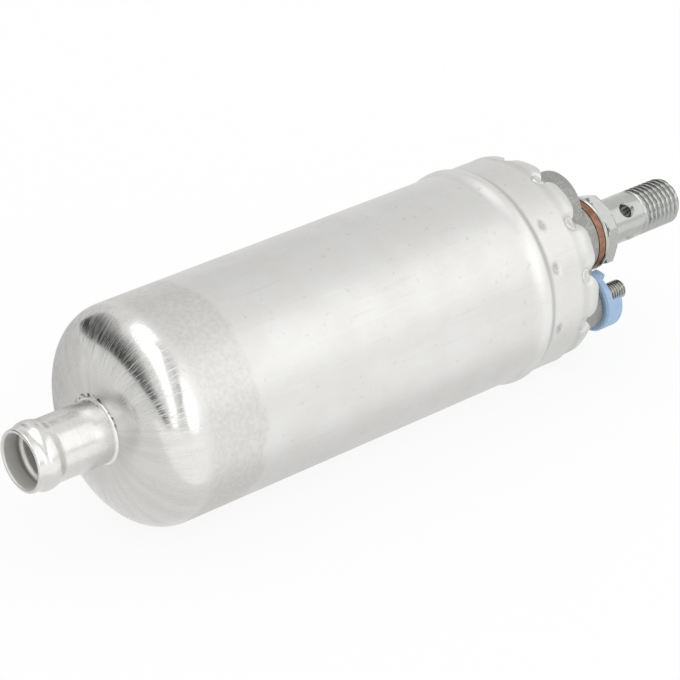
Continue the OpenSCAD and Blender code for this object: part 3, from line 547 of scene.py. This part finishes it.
def revolved(name, profile, segments, slot, replaced):
    """A closed ring of the housing: profile(angle) gives (x, radius) round its section."""
    mesh = bpy.data.meshes.new(name)
    bm = bmesh.new()
    columns = []
    for k in range(segments):
        angle = 360.0 * k / segments
        columns.append([bm.verts.new(around(angle, r, x)) for x, r in profile(angle)])
    for k in range(segments):
        a, b = columns[k], columns[(k + 1) % segments]
        for i in range(len(a)):
            j = (i + 1) % len(a)
            bm.faces.new((a[i], a[j], b[j], b[i]))
    bmesh.ops.recalc_face_normals(bm, faces=bm.faces)
    for face in bm.faces:
        face.smooth = True
    bm.to_mesh(mesh)
    bm.free()
    mesh.set_sharp_from_angle(angle=math.radians(HOUSING_SHARP))
    obj = bpy.data.objects.new(name, mesh)
    scene.collection.objects.link(obj)
    mesh.materials.append(LOOKS[slot])
    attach(obj, "pump_housing")
    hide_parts(replaced)


def can_section(angle):
    """The can as one closed sheet, with the pressed marks of its crimp."""
    return [((s - CLAMP_MID) * MM, r * MM) for s, r in can_rings(angle)]


def washer_section(_):
    """The copper washer, the same at every angle, with broken outer edges."""
    return [(BOSS, COPPER_IN), (BOSS, COPPER_R - 0.1 * MM), (BOSS + 0.2 * MM, COPPER_R),
            (FACE - 0.1 * MM, COPPER_R), (FACE, COPPER_R - 0.1 * MM), (FACE, COPPER_IN)]


def nipple_section(_):
    """The drawn tube with its rolled bead, the same at every angle: out to its flange and back."""
    points = [(0.6, BORE_R), (0.3, BORE_R), (0.1, 6.65), (0.0, 6.8),
              (0.0, 7.12), (0.08, 7.3), (0.3, 7.44), (0.6, 7.46), (1.1, 7.43)]
    for i in range(1, 13):
        points.append((1.5 + 2.0 * i / 12.0, 7.43 + 0.7 * smooth(i / 12.0)))
    for i in range(1, 7):
        points.append((3.5 + 1.2 * i / 6.0, BEAD_R + 0.03 * math.sin(math.pi * i / 6.0)))
    for i in range(1, 17):
        points.append((4.7 + 2.6 * i / 16.0, BEAD_R - 0.63 * (smooth(i / 16.0) + i / 16.0) / 2.0))
    points += [(x, NIPPLE_R) for x in (7.6, 12.0, 17.0, NIPPLE_END)]
    points += [(NIPPLE_END, FLANGE_R), (FLANGE_END, FLANGE_R)]
    points += [(x, BORE_R) for x in (FLANGE_END, 12.0, 6.2)]
    for i in range(0, 13):
        points.append((5.8 - 2.3 * i / 12.0, BORE_R + 0.42 * math.sin(math.pi * i / 12.0) ** 2))
    points += [(3.2, BORE_R)]
    return [((x + MOUTH) * MM, r * MM) for x, r in points]


revolved("pressed_can", can_section, 576, "can_aluminium", "housing_can")
revolved("sealing_washer", washer_section, 128, "copper", "copper_washer")
revolved("beaded_nipple", nipple_section, 160, "nipple_aluminium", "inlet_nipple")


def subtract(obj, tool):
    """Cuts the tool out of a piece and deletes the tool."""
    bpy.context.view_layer.update()
    mod = obj.modifiers.new("cut", "BOOLEAN")
    mod.operation = "DIFFERENCE"
    mod.solver = "EXACT"
    mod.object = tool
    deps = bpy.context.evaluated_depsgraph_get()
    done = bpy.data.meshes.new_from_object(obj.evaluated_get(deps))
    obj.modifiers.clear()
    obj.data = done
    bpy.data.objects.remove(tool)


# Edges of the cover are rounded where they lie off the axis, outside the can and sharp enough
EDGE_OFF_AXIS, EDGE_OUTSIDE, EDGE_ANGLE, EDGE_WIDTH = 8.5 * MM, 71.0 * MM, 50.0, 0.0006


def cast_cover():
    """The die-cast cover, with its outer edges rounded."""
    obj = bpy.data.objects.new("cast_cover", frame["nodes"]["end_cover"].data.copy())
    scene.collection.objects.link(obj)
    bm = bmesh.new()
    bm.from_mesh(obj.data)
    bmesh.ops.remove_doubles(bm, verts=bm.verts, dist=1e-6)
    bmesh.ops.dissolve_limit(bm, angle_limit=math.radians(1.5), verts=bm.verts, edges=bm.edges)
    weight = bm.edges.layers.float.new("bevel_weight_edge")
    for edge in bm.edges:
        ends = [v.co for v in edge.verts]
        off_axis = max(math.hypot(p.y, p.z) for p in ends) > EDGE_OFF_AXIS
        outside = min(p.x for p in ends) > EDGE_OUTSIDE
        ridge = len(edge.link_faces) == 2 and edge.is_convex
        if off_axis and outside and ridge and edge.calc_face_angle() > math.radians(EDGE_ANGLE):
            edge[weight] = 1.0
    bm.to_mesh(obj.data)
    bm.free()
    mod = obj.modifiers.new("edges", "BEVEL")
    mod.limit_method = "WEIGHT"
    mod.width = EDGE_WIDTH
    mod.segments = 3
    deps = bpy.context.evaluated_depsgraph_get()
    obj.data = bpy.data.meshes.new_from_object(obj.evaluated_get(deps))
    obj.modifiers.clear()
    for face in obj.data.polygons:
        face.use_smooth = True
    obj.data.set_sharp_from_angle(angle=math.radians(TURNED_SHARP))
    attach(obj, "pump_housing")
    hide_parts("end_cover")


cast_cover()


def thread(crest, root, lead, start, end, point):
    """Radius of a right-handed thread, run out at its start and chamfered at its end."""
    steep, root_flat, run_out, chamfer = 1.6, 0.25, 0.8, 0.95

    def radius(x, angle):
        t = ((x - start) / lead - angle / 360.0) % 1.0
        wave = min(max(steep * (1.0 - abs(2.0 * t - 1.0)) - root_flat, 0.0), 1.0)
        fade = min(max((x - start) / (run_out * lead), 0.0), 1.0)
        r = root + (crest - root) * max(wave, 1.0 - fade)
        return min(r, crest - max(0.0, x - end + point) * chamfer)
    return radius


def steps(a, b, count):
    """Count equal steps from a to b, with both ends."""
    return [a + (b - a) * i / count for i in range(count + 1)]


def cut(obj, angle, radius, x, length):
    """Drills a round hole through the axis, with countersunk ends."""
    sink_r, sink_depth = 2.35 * MM, 0.75 * MM
    bm = bmesh.new()
    profile = [(-length / 2.0, 3.0 * MM), (-NECK_R - 0.1 * MM, sink_r),
               (-NECK_R + sink_depth, radius)]
    profile += [(-h, r) for h, r in reversed(profile)]
    sides = 48
    turns = [2.0 * math.pi * k / sides for k in range(sides)]
    rows = [[bm.verts.new((r * math.cos(t), r * math.sin(t), h)) for t in turns]
            for h, r in profile]
    for a, b in zip(rows, rows[1:]):
        for k in range(sides):
            j = (k + 1) % sides
            bm.faces.new((a[k], a[j], b[j], b[k]))
    bm.faces.new(rows[0][::-1])
    bm.faces.new(rows[-1])
    bmesh.ops.recalc_face_normals(bm, faces=bm.faces)
    tool_mesh = bpy.data.meshes.new("drill")
    bm.to_mesh(tool_mesh)
    bm.free()
    tool = bpy.data.objects.new("drill", tool_mesh)
    scene.collection.objects.link(tool)
    tool.rotation_mode = "QUATERNION"
    tool.rotation_quaternion = around(angle, 1.0).to_track_quat("Z", "Y")
    tool.location = (x, 0.0, 0.0)
    subtract(obj, tool)


def hexagon(x, angle):
    """Radius of the valve's hexagon, with its corners chamfered at both ends."""
    flat = HEX_FLAT / math.cos(math.radians((angle - HEX_PHASE) % 60.0 - 30.0))
    corner = HEX_FLAT / math.cos(math.radians(30.0))
    from_end = min(x - HEX + 0.4 * MM, NECK - x)
    return min(flat, corner - 1.6 * MM + max(from_end, 0.0) * 1.5)


# The outlet valve: screwed end, face with a lip round the washer, hexagon, neck and thread
axis = Vector((0.0, 0.0, 0.0))
pitch = 1.5 * MM
valve_rings = [(VALVE_BOTTOM, 5.6 * MM), (VALVE_BOTTOM + 1.0 * MM, SCREW_R), (FACE, SCREW_R),
               (FACE, COPPER_R + 0.05 * MM), (FACE - LIP, COPPER_R + 0.05 * MM),
               (FACE - LIP, WASHER_R - 0.2 * MM), (FACE - LIP + 0.3 * MM, WASHER_R),
               (HEX - 0.45 * MM, WASHER_R), (HEX - 0.3 * MM, WASHER_R - 0.15 * MM),
               (HEX - 0.3 * MM, UNDERCUT_R), (HEX + 0.15 * MM, UNDERCUT_R)]
valve_rings += [(x, hexagon) for x in steps(HEX + 0.17 * MM, NECK, 16)]
valve_rings += [(NECK, 7.4 * MM), (NECK, NECK_R + 0.35 * MM), (NECK + 0.3 * MM, NECK_R),
                (CROSS_HOLE - 2.4 * MM, NECK_R), (CROSS_HOLE, NECK_R),
                (CROSS_HOLE + 2.4 * MM, NECK_R),
                (THREAD - 0.25 * MM, NECK_R), (THREAD, 5.55 * MM),
                (THREAD + GROOVE - 0.3 * MM, 5.52 * MM), (THREAD + GROOVE, 5.86 * MM)]
turns = thread(5.88 * MM, 5.15 * MM, pitch, THREAD + GROOVE, TIP, 1.3 * MM)
valve_rings += [(x, turns) for x in steps(THREAD + GROOVE + 0.05 * MM, TIP - 0.05 * MM, 150)]
valve_rings += [(TIP, 4.5 * MM)]
valve = skin("outlet_valve", valve_rings, 96, axis, HEX_PHASE,
             LOOKS["zinc_steel"], "pump_housing")
cut(valve, HOLE_PHASE, CROSS_HOLE_R, CROSS_HOLE, 0.02)
cut(valve, HOLE_PHASE + 90.0, CROSS_HOLE_R, CROSS_HOLE, 0.02)
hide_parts("check_valve_body")


def stud(name, angle, crest, root, lead, base, tip, replaced, look):
    """A terminal stud, with its head inside the cover and its thread from base to tip."""
    centre = around(angle, TERMINAL_R)
    shank = crest + 0.3 * MM
    rings = [(STUD_HEAD, 3.5 * MM), (STUD_HEAD + 0.3 * MM, 3.8 * MM),
             (STUD_HEAD + 1.7 * MM, 3.8 * MM), (STUD_HEAD + 2.0 * MM, 3.6 * MM),
             (STUD_HEAD + 2.0 * MM, shank), (base, shank), (base, crest)]
    profile = thread(crest, root, lead, base + 0.2 * MM, tip, 0.6 * MM)
    count = int((tip - base) / lead * 12)
    rings += [(x, profile) for x in steps(base + 0.2 * MM, tip - 0.03 * MM, count)]
    rings += [(tip, crest - 0.75 * MM)]
    obj = skin(name, rings, 64, centre, 0.0, look, "pump_housing")
    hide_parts(replaced)


stud("positive_screw", PLUS_ANGLE, crest=2.4 * MM, root=2.0 * MM, lead=0.8 * MM,
     base=0.0853, tip=0.0951, replaced="positive_stud", look=GOLD_ZINC)
stud("negative_screw", MINUS_ANGLE, crest=1.95 * MM, root=1.62 * MM, lead=0.7 * MM,
     base=0.0795, tip=0.0885, replaced="negative_stud", look=GOLD_ZINC)

# White floor just under the pump
FLOOR_SIZE, FLOOR_GAP, FLOOR_GLOW = 4.0, 0.0002, 0.88
bm = bmesh.new()
bmesh.ops.create_grid(bm, x_segments=1, y_segments=1, size=FLOOR_SIZE)
floor_mesh = bpy.data.meshes.new("floor")
bm.to_mesh(floor_mesh)
bm.free()
floor = bpy.data.objects.new("floor", floor_mesh)
scene.collection.objects.link(floor)
floor.location.z = cad_box[0][2] - FLOOR_GAP


def either(tree, a, b):
    """1 where one of two values is 1."""
    n = tree.nodes.new("ShaderNodeMath")
    n.operation = "MAXIMUM"
    tree.links.new(a, n.inputs[0])
    tree.links.new(b, n.inputs[1])
    return n.outputs[0]


white = bpy.data.materials.new("floor_white")
white.use_nodes = True
tree = white.node_tree
tree.nodes.clear()
out = tree.nodes.new("ShaderNodeOutputMaterial")
mixer = tree.nodes.new("ShaderNodeMixShader")
diffuse = tree.nodes.new("ShaderNodeBsdfDiffuse")
diffuse.inputs["Color"].default_value = (0.95, 0.95, 0.95, 1.0)
glow = tree.nodes.new("ShaderNodeEmission")
glow.inputs["Color"].default_value = (1.0, 1.0, 1.0, 1.0)
path = tree.nodes.new("ShaderNodeLightPath")
seen = either(tree, path.outputs["Is Camera Ray"], path.outputs["Is Glossy Ray"])
share = tree.nodes.new("ShaderNodeMath")
share.operation = "MULTIPLY"
share.inputs[1].default_value = FLOOR_GLOW
tree.links.new(seen, share.inputs[0])
tree.links.new(share.outputs[0], mixer.inputs[0])
tree.links.new(diffuse.outputs[0], mixer.inputs[1])
tree.links.new(glow.outputs[0], mixer.inputs[2])
tree.links.new(mixer.outputs[0], out.inputs[0])
floor_mesh.materials.append(white)

# White studio round it, a little darker as a light than as it looks
world = bpy.data.worlds.new("studio")
scene.world = world
world.use_nodes = True
tree = world.node_tree
tree.nodes.clear()
out = tree.nodes.new("ShaderNodeOutputWorld")
sky = tree.nodes.new("ShaderNodeBackground")
sky.inputs["Color"].default_value = (1.0, 1.0, 1.0, 1.0)
path = tree.nodes.new("ShaderNodeLightPath")
seen = either(tree, path.outputs["Is Camera Ray"], path.outputs["Is Glossy Ray"])
seen = either(tree, seen, path.outputs["Is Transmission Ray"])
level = tree.nodes.new("ShaderNodeMapRange")
level.inputs["To Min"].default_value = 0.95
level.inputs["To Max"].default_value = 1.0
tree.links.new(seen, level.inputs["Value"])
tree.links.new(level.outputs["Result"], sky.inputs["Strength"])
tree.links.new(sky.outputs[0], out.inputs[0])


CARD_DISTANCE = 1.5  # metres from the pump to the cards in its sky


def lamp(name, place, target, size, power):
    """A rectangular area light that faces its target."""
    data = bpy.data.lights.new(name, "AREA")
    data.shape = "RECTANGLE"
    data.size, data.size_y = size
    data.energy = power
    obj = bpy.data.objects.new(name, data)
    scene.collection.objects.link(obj)
    obj.location = place
    obj.rotation_mode = "QUATERNION"
    obj.rotation_quaternion = (Vector(place) - Vector(target)).to_track_quat("Z", "Y")


def on_sky(azimuth, elevation, distance):
    """The point in a direction given in degrees, seen from the pump."""
    a, e = math.radians(azimuth), math.radians(elevation)
    return (distance * math.cos(a) * math.cos(e), distance * math.sin(a) * math.cos(e),
            distance * math.sin(e))


def sky_rows(low, high, distance=CARD_DISTANCE):
    """Pairs of points on the sky between two lines of (azimuth, elevation)."""
    rows = []
    for (a0, e0), (a1, e1), (b0, f0), (b1, f1) in zip(low, low[1:], high, high[1:]):
        for i in range(9):
            t = i / 8.0
            rows.append((on_sky(a0 + (a1 - a0) * t, e0 + (e1 - e0) * t, distance),
                         on_sky(b0 + (b1 - b0) * t, f0 + (f1 - f0) * t, distance)))
    return rows


def card(name, rows, level, glow=False):
    """A strip of card between pairs of points, which only reflections show."""
    bm = bmesh.new()
    rows = [[bm.verts.new(p) for p in pair] for pair in rows]
    for a, b in zip(rows, rows[1:]):
        bm.faces.new((a[0], b[0], b[1], a[1]))
    mesh = bpy.data.meshes.new(name)
    bm.to_mesh(mesh)
    bm.free()
    obj = bpy.data.objects.new(name, mesh)
    scene.collection.objects.link(obj)
    mat = bpy.data.materials.new(name)
    mat.use_nodes = True
    shader = mat.node_tree.nodes["Principled BSDF"]
    shader.inputs["Roughness"].default_value = 0.9
    grey = 0.0 if glow else level
    shader.inputs["Base Color"].default_value = (grey, grey, grey, 1.0)
    if glow:
        shader.inputs["Emission Color"].default_value = (1.0, 1.0, 1.0, 1.0)
        shader.inputs["Emission Strength"].default_value = level
    mesh.materials.append(mat)
    obj.visible_camera = False
    obj.visible_diffuse = False
    obj.visible_shadow = False
    obj.visible_transmission = False


lamp("key", on_sky(-54.0, 34.0, 1.6), target=(0.0, 0.0, 0.0), size=(2.2, 1.5), power=4.9)

# What the polished dome reflects: a dark wall in four greys, a thin grey line and two bright bands
LOW = [(92, 1), (120, 7), (134, 12), (152, 15), (172, 13), (192, 7), (203, -1)]
HIGH = [(88, 26), (104, 42), (134, 44), (158, 48), (182, 34), (198, 17), (212, 4)]
FADE = [(0.0, 0.35, 0.04), (0.35, 0.6, 0.15), (0.6, 0.8, 0.35), (0.8, 1.0, 0.6)]  # from, to, grey
for i, (near, far, grey) in enumerate(FADE):
    edges = [[(a + (c - a) * t, b + (d - b) * t) for (a, b), (c, d) in zip(LOW, HIGH)]
             for t in (near, far)]
    card("dark_wall_%d" % i, sky_rows(edges[0], edges[1]), level=grey)
card("bright_band", sky_rows(
    [(104, 60), (120, 57), (150, 55), (186, 51), (196, 45), (206, 35), (212, 16), (212, 1)],
    [(71, 64), (45, 75), (15, 83), (232, 80), (218, 68), (222, 48), (224, 20), (222, 1)],
), level=2.2, glow=True)
card("thin_line", sky_rows(
    [(258, 80), (254, 66), (245, 44), (230, 12)],
    [(264, 80), (260, 66), (250, 44), (234, 12)],
), level=0.5)
card("side_band", sky_rows(
    [(270, 0), (276, 11), (281, 27), (283, 50)],
    [(250, 0), (245, 11), (245, 27), (263, 50)],
), level=2.0, glow=True)
# What the nipple's tube reflects as one darker line
card("nipple_line", sky_rows(
    [(30, 54), (42, 48.5), (52, 38), (58, 22)],
    [(30, 57), (44, 51.5), (55, 41), (62, 25)],
), level=0.2)
# A grey board beside the nipple, which its far side reflects: (x, top) along it
board = [(-0.085, 0.016), (-0.053, 0.018), (-0.047, 0.045), (-0.033, 0.05)]
BOARD_Y, BOARD_BOTTOM = 0.045, -0.03
card("left_board", [((x, BOARD_Y, BOARD_BOTTOM), (x, BOARD_Y, z)) for x, z in board], level=0.93)
# A bounce card on the floor, along the near side
low_z = cad_box[0][2] + 0.0005
card("bounce", [((x, -0.04, low_z), (x, -0.9, low_z)) for x in (-0.5, 0.5)],
     level=1.22, glow=True)
